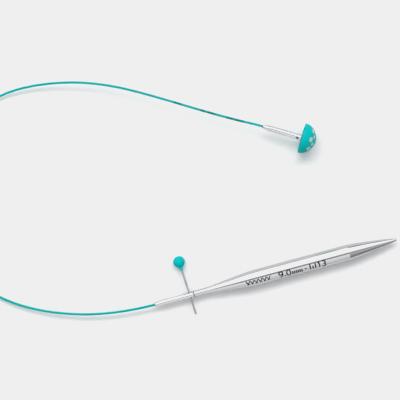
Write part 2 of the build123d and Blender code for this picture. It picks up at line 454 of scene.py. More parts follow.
def drawn_steel(name, colour, roughness, grain, streak_length, streak_width, shaded_seams=(), roll=None):
    """Polished steel with a grain along the piece: noise drawn out in x, in tone, gloss and height.

    Each seam is a distance along the piece where the joint's shade is painted: the steel next to it
    is darker and duller. A roll is that of a cross hole, whose wall gets the same painted shade.
    """
    look = Look(name)
    place = look.place()
    across = 1 / streak_width
    coarse = look.noise(place, (1 / streak_length, across / 4, across / 4), 2.0)
    fine = look.noise(place, (3 / streak_length, across, across), 3.0, 0.6)
    smudge = look.noise(place, (180, 180, 180), 1.0)
    tone = look.mix((coarse * 0.5 + fine * 0.5).held(), shade(colour, 0.82), shade(colour, 1.12))
    gloss = roughness * (0.7 + 0.5 * fine + 0.3 * smudge)
    for seam in shaded_seams:
        # Painted shade in the joint: darker, duller steel within about 0.2 mm of each seam
        shade_amount = 1 - (look.axes(place)[0] - seam).size().above(0.2 * MM, 0.16 * MM)
        tone, gloss = with_painted_shade(look, tone, gloss, colour, shade_amount)
    # Painted shade on the wall of the cross hole
    if roll is not None:
        tone, gloss = with_painted_shade(look, tone, gloss, colour, hole_wall_shade(look, place, roll))
    normal = look.bump(coarse * 1.6 + fine, grain)
    edge_on = (0.72, 0.72, 0.73, 1.0)
    return look.finish(
        Base_Color=tone, Metallic=1.0, Roughness=gloss, Normal=normal, Specular_Tint=edge_on
    )


def turned_steel(name, colour, roughness, groove, pitch, roll=None):
    """Steel off the lathe: fine rings round the axis, uneven in depth, and a little cloudy.

    A roll is that of a cross hole, whose wall is darkened by painted shade.
    """
    look = Look(name)
    place = look.place()
    x = look.axes(place)[0]
    rings = look.maths("SINE", x * (FULL_TURN / pitch)) * 0.5 + 0.5
    wander = look.noise(place, (2.2 / pitch, 60, 60), 3.0, 0.7)
    cloud = look.noise(place, (700, 700, 700), 2.0)
    tone = look.mix((0.6 * wander + 0.4 * cloud).held(), shade(colour, 0.78), shade(colour, 1.1))
    gloss = roughness * (0.7 + 0.6 * wander)
    # Painted shade on the wall of the cross hole
    if roll is not None:
        tone, gloss = with_painted_shade(look, tone, gloss, colour, hole_wall_shade(look, place, roll))
    normal = look.bump(0.4 * rings + wander, groove)
    return look.finish(Base_Color=tone, Metallic=1.0, Roughness=gloss, Normal=normal)


def moulded_plastic(name, colour, roughness, texture, marks=None, ink=None):
    """Satin moulding: faint clouds of tone, a fine spark-eroded texture, and print where marks says."""
    look = Look(name)
    place = look.place()
    cloud = look.noise(place, (260, 260, 260), 3.0)
    spark = look.noise(place, (5200, 5200, 5200), 2.0, 0.6)
    tone = look.mix(cloud, shade(colour, 0.93), shade(colour, 1.06))
    gloss = roughness * (0.88 + 0.24 * spark)
    if marks is not None:
        printed = marks(look, place)
        tone = look.mix(printed, tone, ink)
        gloss = gloss + 0.08 * printed
    normal = look.bump(spark, texture)
    return look.finish(Base_Color=tone, Roughness=gloss, Normal=normal, Specular_IOR_Level=0.02)


def dot_ring(look, place, count, ring, length, width, shift):
    """1 inside a ring of ovals round the x axis.

    The angle times the count, plus a shift, gives each oval its own sector. An oval is where the
    distance out from the ring and the distance round it, over half its length and width, have
    squares that sum to less than 1.
    """
    _, y, z = look.axes(place)
    out = (y * y + z * z).root()
    sector = (look.maths("ARCTAN2", z, y) * (count / FULL_TURN) + shift + 0.25 + count).part() - 0.5
    round_way = sector * out * (FULL_TURN / count)
    far = ((out - ring) / (length / 2)) ** 2 + (round_way / (width / 2)) ** 2
    return 1 - far.above(1.0, 0.25)


def printed_dots(look, place):
    """The cap's print: a middle dot and three rings of ovals, half a sector apart, on the crown only."""
    x, y, z = look.axes(place)
    middle = 1 - (y * y + z * z).root().above(0.7 * MM, 0.1 * MM)
    inner = dot_ring(look, place, 7, 2.4 * MM, 1.2 * MM, 1.2 * MM, 0.54)
    petals = dot_ring(look, place, 7, 4.8 * MM, 1.6 * MM, 2.0 * MM, 0.04)
    outer = dot_ring(look, place, 7, 6.4 * MM, 1.6 * MM, 2.8 * MM, 0.54)
    worn = 1 - 0.3 * look.noise(place, (2600, 2600, 2600), 2.0)
    return (middle + inner + petals + outer).held() * x.above(2 * MM, 0.1 * MM) * worn


def coated_cord(name, colour, ink, diameter, dashes):
    """Nylon coating with extrusion lines along it, and dashes of worn print on its upper side.

    A dash is made of ticks a set distance apart. Its two ends are soft steps in the distance along.
    """
    look = Look(name)
    place = look.place()
    x, _, z = look.axes(place)
    lines = look.noise(place, (14, 5200, 5200), 2.0)
    cloud = look.noise(place, (45, 500, 500), 3.0)
    tone = look.mix((0.6 * cloud + 0.4 * lines).held(), shade(colour, 0.86), shade(colour, 1.12))
    ticks = 1 - (x / (0.62 * MM)).part().above(0.72, 0.1)
    printed = 0.0
    for start, end in dashes:
        printed = x.above(start, 0.08 * MM) * (1 - x.above(end, 0.08 * MM)) + printed
    band = z.above(0.06 * diameter, 0.1 * diameter)
    worn = 1 - 0.45 * look.noise(place, (5200, 5200, 5200), 2.0)
    tone = look.mix(printed * ticks * band * worn, tone, ink)
    gloss = 0.3 + 0.16 * cloud
    normal = look.bump(lines, 4e-6)
    return look.finish(Base_Color=tone, Roughness=gloss, Normal=normal, Specular_IOR_Level=0.0)


def etched(name, ink):
    """A laser-blackened mark: dark, dull and slightly uneven."""
    look = Look(name)
    place = look.place()
    grain = look.noise(place, (6000, 6000, 6000), 3.0, 0.7)
    tone = look.mix(grain, shade(ink, 0.6), shade(ink, 1.7))
    gloss = 0.5 + 0.2 * grain
    normal = look.bump(grain, 3e-6)
    return look.finish(Base_Color=tone, Roughness=gloss, Normal=normal, Specular_IOR_Level=0.1)


def stranded_steel(name, colour, diameter):
    """A wire rope's surface: strands that wind round, as waves in distance along plus angle round, with painted
    shade in their grooves.
    """
    look = Look(name)
    x, y, z = look.axes(look.place())
    angle = look.maths("ARCTAN2", z, y)
    wave = look.maths("SINE", x * (FULL_TURN / (0.45 * diameter)) + 7 * angle) * 0.5 + 0.5
    # Painted shade: the tone is darkest in the grooves between the strands
    tone = look.mix(wave, shade(colour, 0.5), shade(colour, 1.05))
    normal = look.bump(wave, 0.06 * diameter)
    return look.finish(Base_Color=tone, Metallic=1.0, Roughness=0.3 + 0.1 * wave, Normal=normal)


def table_top(name, colour):
    """A matt, even, pale sheet with a barely visible tooth."""
    look = Look(name)
    made = look.node("ShaderNodeTexCoord")
    tooth = look.noise(made.outputs["Object"], (900, 900, 900), 2.0)
    tone = look.mix(tooth, shade(colour, 0.995), shade(colour, 1.005))
    return look.finish(Base_Color=tone, Roughness=0.9, Specular_IOR_Level=0.0)


# ---------------------------------------------------------------- settings


def length_property(label, text, default, smallest=0.0):
    return bpy.props.FloatProperty(
        name=label,
        description=text,
        default=default,
        min=smallest,
        unit="LENGTH",
        subtype="DISTANCE",
        precision=5,
    )


def colour_property(label, text, default):
    return bpy.props.FloatVectorProperty(
        name=label,
        description=text,
        default=default,
        size=3,
        min=0.0,
        max=1.0,
        subtype="COLOR",
    )


class StageSettings(bpy.types.PropertyGroup):
    """The table, the light and the camera."""

    aim: bpy.props.FloatVectorProperty(
        name="Aim",
        description="The point that the camera looks at",
        default=(-0.03025, 0.01484, TIP_RADIUS),
        size=3,
        subtype="TRANSLATION",
        unit="LENGTH",
    )
    distance: length_property("Distance", "How far above the aim the camera stands", 1.2, 0.1)
    view_width: length_property("View width", "How much of the table the picture spans", 0.2224, 0.01)
    turn: bpy.props.FloatProperty(
        name="Turn",
        description="How far the camera is turned about the vertical",
        default=math.radians(-15.08),
        subtype="ANGLE",
    )
    table_colour: colour_property("Table colour", "The pale surface", (0.85, 0.85, 0.85))
    surroundings: bpy.props.FloatProperty(
        name="Surroundings",
        description="How bright the unlit room is",
        default=0.38,
        min=0.0,
    )
    paper_white: bpy.props.FloatProperty(
        name="Paper white",
        description="The light level at which everything brighter is held",
        default=0.863,
        min=0.1,
        max=1.0,
    )


class TipSettings(bpy.types.PropertyGroup):
    """The needle tip."""

    neck_diameter: length_property("Neck diameter", "Across the thin rear end", 3.6 * MM)
    neck_length: length_property("Neck length", "Where the rear cone starts", 7.8 * MM)
    rear_cone_end: length_property("Rear cone end", "Where the rear cone meets the shaft", 33.2 * MM)
    rear_cone_blend: length_property("Rear blend", "Radius at both ends of the rear cone", 40 * MM)
    front_cone_start: length_property("Front cone start", "Where the shaft ends", 89.2 * MM)
    front_cone_bulge: length_property("Front bulge", "How far the front cone swells", 0.33 * MM)
    nose_radius: length_property("Nose radius", "The rounding of the point", 0.92 * MM)
    nose_slope: bpy.props.FloatProperty(
        name="Nose slope",
        description="The cone's slope where the point's rounding starts",
        default=math.radians(11),
        subtype="ANGLE",
    )
    wall: length_property("Wall", "Thickness of the tube", 0.7 * MM)
    grain: length_property("Grain", "Depth of the lengthwise grain", 1.6e-6)
    colour: colour_property("Steel colour", "Polished steel", (0.6, 0.6, 0.605))
    mark_colour: colour_property("Mark colour", "Etched marks", (0.02, 0.02, 0.023))
    mark_height: length_property("Mark height", "Height of the size mark", 3.4 * MM)
    mark_line: length_property("Mark line", "Width of a mark's line", 0.72 * MM)


class ConnectorSettings(bpy.types.PropertyGroup):
    """The two connectors: sleeve and screw."""

    nose_length: length_property("Nose length", "Length of the bullet-shaped rear", 4.4 * MM)
    nose_diameter: length_property("Nose diameter", "Across the very rear", 1.8 * MM)
    nose_bulge: length_property("Nose bulge", "How far the rear's outline swells", 0.16 * MM)
    edge: length_property("Edge", "Rounding of the front edge", 0.3 * MM)
    screw_diameter: length_property("Screw shank", "Across the shank in the sleeve", 2.38 * MM)
    screw_start: length_property("Shank start", "Where the shank starts in the sleeve", 7.3 * MM)
    cord_bore: length_property("Cord bore", "Across the hole that the cord enters", 1.4 * MM)
    back_wall: length_property("Back wall", "Thickness of the wall behind the stop", 3.0 * MM)
    thread_major: length_property("Thread", "Across the thread's crests", 2.0 * MM)
    thread_minor: length_property("Thread root", "Across the thread's roots", 1.52 * MM)
    thread_pitch: length_property("Pitch", "Advance for each turn of the thread", 0.4 * MM)
    thread_length: length_property("Thread length", "Length of the stud", 5.4 * MM)
    colour: colour_property("Sleeve colour", "Polished sleeve", (0.66, 0.66, 0.665))
    screw_colour: colour_property("Screw colour", "Turned screw", (0.55, 0.55, 0.56))
    brass_colour: colour_property("Brass colour", "Threaded bushes", (0.78, 0.58, 0.28))


class CordSettings(bpy.types.PropertyGroup):
    """The cord."""

    diameter: length_property("Diameter", "Across the coated cord", 1.28 * MM)
    wire_diameter: length_property("Wire diameter", "Across the wire inside", 0.8 * MM)
    colour: colour_property("Coating colour", "Nylon coating", (0.0, 0.4, 0.385))
    ink: colour_property("Print colour", "Dashes of print", (0.005, 0.07, 0.065))
    wire_colour: colour_property("Wire colour", "Wire inside", (0.5, 0.5, 0.5))
    stop_colour: colour_property("Stop colour", "Crimped stops", (0.5, 0.5, 0.51))


class KeySettings(bpy.types.PropertyGroup):
    """The tightening key."""

    wire_diameter: length_property("Wire diameter", "Across the key's wire", 1.0 * MM)
    ball_diameter: length_property("Ball diameter", "Across the ball", 6.5 * MM)
    ball_reach: length_property("Ball reach", "From the cross hole to the ball's middle", 19.5 * MM)
    tail: length_property("Tail", "From the cross hole to the wire's end", 11.1 * MM)
    collar_diameter: length_property("Collar diameter", "Across the collar", 1.9 * MM)
    collar_length: length_property("Collar length", "From its end to the ball", 1.6 * MM)
    colour: colour_property("Ball colour", "Moulded ball", (0.002, 0.48, 0.48))
    wire_colour: colour_property("Wire colour", "Drawn wire", (0.42, 0.42, 0.43))


class CapSettings(bpy.types.PropertyGroup):
    """The end cap."""

    height: length_property("Height", "From the flat back to the crown", 8.2 * MM)
    rim: length_property("Rim", "Rounding between the back and the dome", 0.5 * MM)
    dome_power: bpy.props.FloatProperty(
        name="Dome power",
        description="2 is an ellipse, and less is slimmer",
        default=1.82,
        min=1.0,
        max=3.0,
    )
    colour: colour_property("Cap colour", "Moulded cap", (0.002, 0.465, 0.465))
    ink: colour_property("Print colour", "Printed dots", (0.66, 0.57, 0.56))


class NeedleSettings(bpy.types.PropertyGroup):
    """All the settings."""

    stage: bpy.props.PointerProperty(type=StageSettings)
    tip: bpy.props.PointerProperty(type=TipSettings)
    connector: bpy.props.PointerProperty(type=ConnectorSettings)
    cord: bpy.props.PointerProperty(type=CordSettings)
    key: bpy.props.PointerProperty(type=KeySettings)
    cap: bpy.props.PointerProperty(type=CapSettings)


# ---------------------------------------------------------------- stage


def panel_light(name, one_edge, other_edge, reach, brightness, lights_surfaces, shows_in_metal):
    """A studio panel along the needle, facing it, that the camera can't see.

    Each long edge is (degrees from straight above towards +Y, distance), and reach is its two ends
    in x. Its power is four times its area times its brightness, so that panels of one brightness
    look alike in metal whatever their size.
    """
    needle = TIP_SEAT.origin[1:]
    edges = []
    for degrees, distance in (one_edge, other_edge):
        turn = math.radians(degrees)
        edges.append(needle + distance * np.array([math.sin(turn), math.cos(turn)]))
    middle = (edges[0] + edges[1]) / 2
    slope = edges[1] - edges[0]
    across = np.array([0.0, *unit(slope)])
    back = np.cross((1, 0, 0), across)
    if float(back[1:] @ (middle - needle)) < 0:
        across, back = -across, -back
    light = bpy.data.lights.new(name, "AREA")
    light.shape = "RECTANGLE"
    light.size = reach[1] - reach[0]
    light.size_y = float(np.linalg.norm(slope))
    light.energy = 4 * light.size * light.size_y * brightness
    lamp = bpy.data.objects.new(name, light)
    place = ((reach[0] + reach[1]) / 2, *middle)
    lamp.matrix_world = Matrix(np.column_stack([(1, 0, 0), across, back, place]).tolist() + [[0, 0, 0, 1]])
    lamp.visible_camera = False
    lamp.visible_diffuse = lights_surfaces
    lamp.visible_glossy = shows_in_metal
    bpy.context.scene.collection.objects.link(lamp)


class KNITTING_OT_stage(bpy.types.Operator):
    """Sets the pale table, the studio panels, the dim room and the camera"""

    bl_idname = "knitting.stage"
    bl_label = "Stage"

    def execute(self, context):
        sizes = context.scene.needle_settings.stage
        scene = context.scene
        scene.view_settings.view_transform = "Standard"
        self.hold_white(scene.view_settings, sizes.paper_white)
        room = bpy.data.worlds.new("room")
        room.use_nodes = True
        backdrop = room.node_tree.nodes["Background"]
        tinted = (sizes.surroundings * tint for tint in ROOM_TINT)
        backdrop.inputs["Color"].default_value = (*tinted, 1.0)
        scene.world = room

        half, height = 4.0, -0.02 * MM
        corners = [(-half, -half), (half, -half), (half, half), (-half, half)]
        mesh = bpy.data.meshes.new("table")
        mesh.from_pydata([(*corner, height) for corner in corners], [], [(0, 1, 2, 3)])
        table = bpy.data.objects.new("table", mesh)
        mesh.materials.append(table_top("table_top", sizes.table_colour))
        scene.collection.objects.link(table)

        for panel in PANELS:
            panel_light(*panel)
        self.add_camera(scene, sizes)
        return {"FINISHED"}

    def hold_white(self, view, paper_white):
        """Keeps what is overexposed at the grey of the paper: shown = paper white * min(light, 1)."""
        view.use_curve_mapping = True
        view.curve_mapping.extend = "HORIZONTAL"
        view.curve_mapping.curves[3].points[-1].location = (1.0, paper_white)
        view.curve_mapping.update()

    def add_camera(self, scene, sizes):
        """Looks straight down. The lens shows the view's width at the aim's distance."""
        lens = bpy.data.cameras.new("camera")
        lens.sensor_width = 36.0
        lens.lens = lens.sensor_width * sizes.distance / sizes.view_width
        lens.clip_start = 0.01
        lens.clip_end = 20.0
        camera = bpy.data.objects.new("camera", lens)
        camera.location = (sizes.aim[0], sizes.aim[1], sizes.aim[2] + sizes.distance)
        camera.rotation_euler = (0, 0, sizes.turn)
        scene.collection.objects.link(camera)
        scene.camera = camera


# ---------------------------------------------------------------- cord


def cord_line():
    """The cord's smooth line: a NURBS curve with the route's points as its control points."""
    curve = bpy.data.curves.new("cord_route", "CURVE")
    curve.dimensions = "3D"
    curve.resolution_u = 24
    spline = curve.splines.new("NURBS")
    spline.points.add(len(CORD_ROUTE) - 1)
    for point, place in zip(spline.points, CORD_ROUTE):
        point.co = (*place, 1.0)
    spline.order_u = 3
    spline.use_endpoint_u = True
    route = bpy.data.objects.new("cord_route", curve)
    mesh = bpy.data.meshes.new_from_object(route)
    points = np.empty(len(mesh.vertices) * 3, np.float32)
    mesh.vertices.foreach_get("co", points)
    bpy.data.meshes.remove(mesh)
    bpy.data.objects.remove(route)
    bpy.data.curves.remove(curve)
    return Line(points.reshape(-1, 3).astype(float), 0.5 * MM)


def cord_tube(name, line, start, end, diameter, sides):
    """A round tube along the line, closed at both ends: each ring is a circle across the line."""
    radius = diameter / 2
    edge = 0.06 * MM
    steps = math.ceil((end - start) / (0.5 * MM))
    inside = np.linspace(start + edge, end - edge, steps)
    wall = np.stack([inside, np.full(steps, radius)], axis=1)
    first = np.array([(start, 0.0), (start, radius - edge)])
    last = np.array([(end, radius - edge), (end, 0.0)])
    outline = np.concatenate([first, wall, last])
    return Surface().add_lathe(outline, sides).piece(name, line=line)


class KNITTING_OT_cord(bpy.types.Operator):
    """Lays the coated cord and the steel wire inside it"""

    bl_idname = "knitting.cord"
    bl_label = "Cord"

    def execute(self, context):
        sizes = context.scene.needle_settings.cord
        line = cord_line()
        from_cap = line.length - CORD_IN_SLEEVE
        dashes = [(from_cap - far * MM, from_cap - near * MM) for near, far in CORD_PRINT]
        cover = cord_tube("cord_cover", line, 0.0, line.length, sizes.diameter, 24)
        cover.data.materials.append(
            coated_cord("coated_cord", sizes.colour, shade(sizes.ink, 1.0), sizes.diameter, dashes)
        )
        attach(cover, "cord")
        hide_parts("cord_jacket")

        wire_ends = (-STOP_LENGTH, line.length + STOP_LENGTH)
        wire = cord_tube("cord_wire", line, *wire_ends, sizes.wire_diameter, 12)
        wire.data.materials.append(
            stranded_steel("stranded_steel", sizes.wire_colour, sizes.wire_diameter)
        )
        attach(wire, "cord")
        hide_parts("cord_core")

        crimped = turned_steel(
            "crimped_steel", sizes.stop_colour, roughness=0.35, groove=3e-6, pitch=0.2 * MM
        )
        stops = [frame["nodes"][name] for name in ("needle_cord_stop", "cap_cord_stop")]
        for stop in stops:
            stop.data.materials.clear()
            stop.data.materials.append(crimped)
        return {"FINISHED"}


# ---------------------------------------------------------------- needle tip


def tip_outline(sizes):
    """The tip's outline from the closed end of its hollow, out by its mouth, to the very point.

    Outside: neck, cone between two large blends, straight shaft, a swelling cone and a round nose.
    Inside: the hollow follows the outside at the wall's thickness, down to the bush's seat.
    """
    neck = sizes.neck_diameter / 2
    edge = 0.4 * MM
    seat = 1.35 * MM
    bore = TIP_RADIUS - sizes.wall
    slope = sizes.nose_slope
    nose_join = TIP_LENGTH - sizes.nose_radius * (1 - math.sin(slope))
    nose_height = sizes.nose_radius * math.cos(slope)
    seat_depth = 9.2 * MM
    chamfer = 0.15 * MM
    hollow = np.array([
        (TIP_LENGTH - 12 * MM, 0),
        (TIP_LENGTH - 14 * MM, 1.2 * MM),
        (sizes.front_cone_start - 2 * MM, bore),
        (sizes.rear_cone_end + 1 * MM, bore),
        (seat_depth, seat),
        (chamfer, seat),
        (0, seat + chamfer),
        (0, neck - 1.2 * edge),
    ])
    back = rounded([(0, neck - 1.2 * edge), (0, neck), (4 * edge, neck)], [edge], steps=8)
    shoulders = rounded(
        [
            (4 * edge, neck),
            (sizes.neck_length, neck),
            (sizes.rear_cone_end, TIP_RADIUS),
            (sizes.front_cone_start - 0.1 * MM, TIP_RADIUS),
        ],
        [sizes.rear_cone_blend, sizes.rear_cone_blend],
        steps=30,
        margin=0.3 * MM,
    )
    bulge = (
        (sizes.front_cone_start + nose_join) / 2,
        (TIP_RADIUS + nose_height) / 2 + sizes.front_cone_bulge,
    )
    cone_ends = [(sizes.front_cone_start, TIP_RADIUS), (nose_join, nose_height)]
    cone = arc_through(cone_ends[0], bulge, cone_ends[1], 40)
    nose_middle = (
        TIP_LENGTH - sizes.nose_radius * (1 - math.sqrt(0.5)),
        sizes.nose_radius * math.sqrt(0.5),
    )
    nose = arc_through(cone_ends[1], nose_middle, (TIP_LENGTH, 0), 14)
    parts = [hollow, back[1:], shoulders[1:], cone, nose[1:]]
    return np.concatenate(parts)


class KNITTING_OT_tip(bpy.types.Operator):
    """Turns the hollow steel needle tip"""

    bl_idname = "knitting.tip"
    bl_label = "Needle tip"

    def execute(self, context):
        sizes = context.scene.needle_settings.tip
        tube = Surface().add_lathe(tip_outline(sizes), 192).piece("tip_tube", TIP_SEAT)
        tube.data.materials.append(
            drawn_steel(
                "needle_steel",
                sizes.colour,
                roughness=0.13,
                grain=sizes.grain,
                streak_length=60 * MM,
                streak_width=0.22 * MM,
                # Painted shade at the joint with the sleeve
                shaded_seams=[0.0],
            )
        )
        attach(tube, "tip")
        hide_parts("needle_tip")
        return {"FINISHED"}


# ---------------------------------------------------------------- etched marks


def oval(centre, width, height, start=0.0, span=FULL_TURN, steps=40):
    """Points round an oval: the middle plus half the width and height times cos and sin."""
    angles = start + span * np.linspace(0, 1, steps + 1)
    return np.array(centre) + np.stack(
        [width / 2 * np.cos(angles), height / 2 * np.sin(angles)], axis=1
    )


def add_stroke(surface, points, width, roll):
    """Adds a thin raised ribbon on the shaft along flat points (distance along, distance round).

    Each side lies half the width off the line, square to it. A distance round becomes the angle
    distance / radius, and the ribbon's four corners lie just above and just below the surface.
    """
    points = np.array(points, float)
    steps = np.linalg.norm(np.diff(points, axis=0), axis=1)
    along = np.concatenate([[0], np.cumsum(steps)])
    at = np.linspace(0, along[-1], max(2, math.ceil(along[-1] / (0.12 * MM))) + 1)
    points = np.stack([np.interp(at, along, points[:, k]) for k in range(2)], axis=1)
    ways = np.gradient(points, axis=0)
    ways /= np.linalg.norm(ways, axis=1, keepdims=True)
    off = np.stack([-ways[:, 1], ways[:, 0]], axis=1) * width / 2
    above = TIP_RADIUS + 0.014 * MM
    below = TIP_RADIUS - 0.02 * MM
    corners = [(points - off, below), (points - off, above), (points + off, above), (points + off, below)]
    rows = []
    for flat, height in corners:
        angle = roll - flat[:, 1] / TIP_RADIUS
        rows.append(np.stack([flat[:, 0], height * np.cos(angle), height * np.sin(angle)], axis=1))
    ring = np.stack(rows, axis=1)
    ends = [np.broadcast_to(end.mean(axis=0), end.shape)[None] for end in (ring[0], ring[-1])]
    surface.add_grid(np.concatenate([ends[0], ring, ends[1]]), closed=True)


def size_figures(height, start):
    """The lines of the two size numbers, with a short gauge scale beside each."""
    width = 0.62 * height
    nine = start + width / 2
    zero = nine + 2.1 * width
    turn = np.linspace(0, 1, 16)[:, None]
    tail_ends = np.array([(nine + width / 2, 0.24 * height), (nine - 0.25 * width, -0.5 * height)])
    bend = np.array((nine + width / 2, -0.36 * height))
    tail = (1 - turn) ** 2 * tail_ends[0] + 2 * turn * (1 - turn) * bend + turn**2 * tail_ends[1]
    dot = (nine + 1.05 * width, -0.44 * height)
    lines = [
        oval((nine, 0.24 * height), width, 0.52 * height),
        tail,
        oval(dot, 0.2 * MM, 0.2 * MM, steps=8),
        oval((zero, 0), width, height),
    ]
    first_scale = zero + 1.05 * width
    for tick in range(6):
        at = first_scale + tick * 0.5 * width
        lines.append([(at, -0.5 * height), (at, 0.12 * height)])
    dash = first_scale + 3.3 * width
    lines.append([(dash, -0.05 * height), (dash + 0.5 * width, -0.05 * height)])
    second_scale = dash + 1.5 * width
    for tick in range(3):
        at = second_scale + tick * 0.72 * width
        lines.append([(at, -0.5 * height), (at, (0.1 if tick == 1 else 0.5) * height)])
    one = second_scale + 2.5 * width
    lines.append([(one - 0.35 * width, 0.28 * height), (one, 0.5 * height), (one, -0.5 * height)])
    three = one + 1.15 * width
    for middle, reach in ((0.25, 0.5), (-0.25, 0.54)):
        half = oval((three, middle * height), 0.95 * width, reach * height, 0.75 * math.pi, -1.25 * math.pi)
        lines.append(half if middle > 0 else half * np.array([1, -1]) + np.array([0, 2 * middle * height]))
    return lines


def stitch_row(height, start, count):
    """A row of knit stitches, each a pair of slanting strokes that meet at the bottom."""
    lines = []
    step = 0.78 * height
    for stitch in range(count):
        left = start + stitch * step
        lines.append([(left, 0.4 * height), (left + 0.3 * step, 0), (left + 0.42 * step, -0.4 * height)])
        right = left + 0.92 * step
        lines.append([(right, 0.4 * height), (right - 0.3 * step, 0), (right - 0.42 * step, -0.4 * height)])
    return lines


class KNITTING_OT_marks(bpy.types.Operator):
    """Etches the size figures and a plain row of stitches on the shaft"""

    bl_idname = "knitting.marks"
    bl_label = "Etched marks"

    def execute(self, context):
        sizes = context.scene.needle_settings.tip
        surface = Surface()
        for line in size_figures(sizes.mark_height, FIGURES_START):
            add_stroke(surface, line, sizes.mark_line, MARK_ROLL)
        for line in stitch_row(STITCH_HEIGHT, STITCHES_START, STITCH_COUNT):
            add_stroke(surface, line, 0.75 * sizes.mark_line, MARK_ROLL)
        marks = surface.piece("tip_marks", TIP_SEAT)
        marks.data.materials.append(etched("etched_mark", sizes.mark_colour))
        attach(marks, "tip")
        return {"FINISHED"}


# ---------------------------------------------------------------- connectors

SLEEVE_SIDES = 96
HOLE_CELLS = 20
HOLE_REACH = 1.0 * MM


def turned_about_x(points, roll):
    """Points turned about the x axis by a roll."""
    y = points[..., 1] * math.cos(roll) - points[..., 2] * math.sin(roll)
    z = points[..., 1] * math.sin(roll) + points[..., 2] * math.cos(roll)
    return np.stack([points[..., 0], y, z], axis=-1)


def hole_band():
    """The distances along the sleeve at which its rings are cut for the cross hole."""
    return KEY_HOLE_AT + np.linspace(-HOLE_REACH, HOLE_REACH, HOLE_CELLS + 1)


def hole_skip(outline):
    """Which faces of a turned outline the two mouths of the cross hole take the place of.

    Columns count from the hole's own direction, so the mouths are at column 0 and half way round.
    """
    middles = (outline[:-1, 0] + outline[1:, 0]) / 2
    rows = (np.abs(middles - KEY_HOLE_AT) < HOLE_REACH) & (outline[:-1, 0] != outline[1:, 0])
    columns = np.arange(SLEEVE_SIDES)
    half = HOLE_CELLS // 2
    from_mouth = (columns + half) % (SLEEVE_SIDES // 2)
    return rows[:, None] & (from_mouth < HOLE_CELLS)[None]


def mouth_edge(radius):
    """The edge of the square window round a mouth, as (x, y) from the hole's middle, going round."""
    half = HOLE_CELLS // 2
    cells = np.arange(-half, half)
    full = np.full(HOLE_CELLS, half)
    x = np.concatenate([cells, full, -cells, -full]) * (HOLE_REACH / half)
    turns = np.concatenate([-full, cells, full, -cells])
    y = radius * np.sin(turns * FULL_TURN / SLEEVE_SIDES)
    return np.stack([x, y], axis=1)


def add_mouth(surface, radius, hole, roll, depths):
    """Adds the skin round one mouth of the cross hole, and the hole's wall down to some depths.

    Between the round hole and the square window each point is a share of the way from one to the
    other, and lies on the sleeve's round: its height is the root of radius^2 - y^2. A depth is a
    function of the wall's y.
    """
    window = mouth_edge(radius)
    angle = np.arctan2(window[:, 1], window[:, 0])
    circle = np.stack([np.cos(angle), np.sin(angle)], axis=1)
    rows = []
    for share in (1.0, 0.75, 0.5, 0.28, 0.12, 0.03, 0.0):
        flat = share * window + (1 - share) * hole * circle
        rows.append(np.column_stack([flat, np.sqrt(radius**2 - flat[:, 1] ** 2)]))
    for wall_radius, depth in depths:
        flat = wall_radius * circle
        rows.append(np.column_stack([flat, depth(flat[:, 1])]))
    grid = np.stack(rows)
    upright = np.stack([KEY_HOLE_AT + grid[..., 0], grid[..., 2], grid[..., 1]], axis=-1)
    surface.add_grid(turned_about_x(upright, roll), closed=True)


def sleeve_piece(name, seat, sizes, roll):
    """A sleeve: a closed shell turned about x, with a real cross hole through both its walls."""
    chamber = 1.2 * MM
    rear = sizes.nose_diameter / 2
    bore = sizes.cord_bore / 2
    edge = sizes.edge
    front = SLEEVE_LENGTH
    lip = 0.1 * MM
    nose = arc_through(
        (lip, rear + 0.03 * MM),
        (sizes.nose_length / 2, (rear + SLEEVE_RADIUS) / 2 + sizes.nose_bulge),
        (sizes.nose_length, SLEEVE_RADIUS),
        20,
    )
    band = hole_band()
    outside = np.column_stack([band, np.full(len(band), SLEEVE_RADIUS)])
    inside = np.column_stack([band[::-1], np.full(len(band), chamber)])
    mouth = rounded(
        [outside[-1], (front, SLEEVE_RADIUS), (front, chamber), inside[0]], [edge, edge / 3], steps=6
    )
    back = sizes.back_wall
    rear_lip = rounded([(back, bore), (0, bore), (0, rear), nose[0]], [lip / 2, lip / 2], steps=5)
    outline = np.concatenate([nose, outside, mouth[1:-1], inside, [(back, chamber)], rear_lip])
    surface = Surface().add_lathe(outline, SLEEVE_SIDES, roll, hole_skip(outline))
    bevel = 0.05 * MM
    hole = KEY_HOLE_RADIUS
    depths = [
        (hole + 0.3 * bevel, lambda y: np.sqrt(SLEEVE_RADIUS**2 - y**2) - 0.3 * bevel),
        (hole, lambda y: np.sqrt(SLEEVE_RADIUS**2 - y**2) - bevel),
        (hole, lambda y: np.sqrt(SLEEVE_RADIUS**2 - y**2) - 1.5 * bevel),
    ]
    for turn in (0, math.pi):
        add_mouth(surface, SLEEVE_RADIUS, hole + bevel, roll + turn, depths)
        window = [(hole, lambda y: np.sqrt(SLEEVE_RADIUS**2 - y**2) - 1.5 * bevel)]
        add_mouth(surface, chamber, hole, roll + turn, window)
    return surface.piece(name, seat)


def thread_grid(sizes, start, sides):
    """The stud: r is the root's radius plus a ridge that winds round as a right-hand helix.

    A ridge's phase is distance / pitch - angle / full turn, so it comes round again one pitch on.
    The ridge fades in after the relief and out at the chamfered end.
    """
    pitch = sizes.thread_pitch
    length = sizes.thread_length
    root, crest = sizes.thread_minor / 2, sizes.thread_major / 2
    x = np.linspace(0, length, int(18 * length / pitch))[:, None]
    angle = (FULL_TURN * np.arange(sides) / sides)[None]
    phase = (x / pitch - angle / FULL_TURN) % 1.0
    flat, flank = 0.16, 2.6
    ridge = np.clip(1 + flat - np.abs(phase - 0.5) * flank, 0, 1)
    fade = np.clip((x - pitch) / pitch, 0, 1) * np.clip((length - x) / (0.9 * pitch), 0, 1)
    radius = root + (crest - root) * ridge * fade
    chamfer = root - 0.2 * MM + (length - x)
    radius = np.minimum(radius, chamfer)
    whole_x = np.broadcast_to(start + x, radius.shape)
    return np.stack([whole_x, radius * np.cos(angle), radius * np.sin(angle)], axis=-1)


